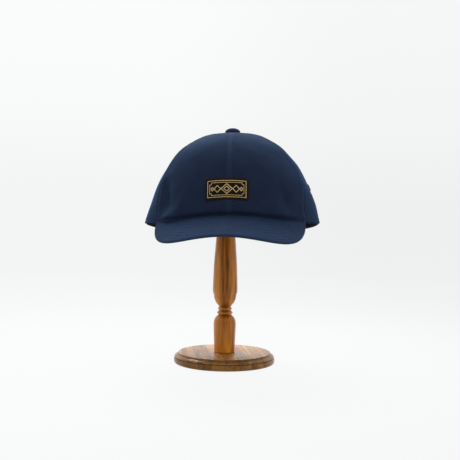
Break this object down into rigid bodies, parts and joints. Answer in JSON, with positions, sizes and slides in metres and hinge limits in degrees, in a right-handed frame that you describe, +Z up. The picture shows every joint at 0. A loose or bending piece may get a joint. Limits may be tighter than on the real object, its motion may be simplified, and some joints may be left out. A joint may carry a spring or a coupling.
{
  "type": "cap on a turned wooden stand",
  "caption": "Navy twill cap with a curved brim, a woven patch and a strap across the back opening, resting on a turned wooden stand with a round base.",
  "frame": {"origin": "centre of the flat underside of the round base, on the axis of the post", "axes": "+Z up along the post, -Y towards the front, where the brim points, +X to the right as seen from the front"},
  "size_m": [0.2136, 0.2345, 0.2867],
  "materials": {
    "twill": "matt brushed cotton twill, navy",
    "band": "matt cotton band, dark",
    "label": "woven patch, dull gold thread on a dark ground",
    "thread": "embroidery thread, navy",
    "brass": "satin",
    "base_wood": "clear gloss varnish",
    "post_wood": "clear gloss varnish over a warm stain"
  },
  "bodies": {
    "root": {"stand_base": "base_wood", "stand_post": "post_wood", "stand_head": "post_wood", "panel_front_right": "twill", "panel_side_right": "twill", "panel_back_right": "twill", "panel_back_left": "twill", "panel_side_left": "twill", "panel_front_left": "twill", "brim": "twill", "button": "twill", "label_patch": "label", "sweatband": "band", "back_strap": "twill", "strap_slide": "brass", "eyelet_right": "thread", "eyelet_left": "thread"}
  },
  "joints": []
}
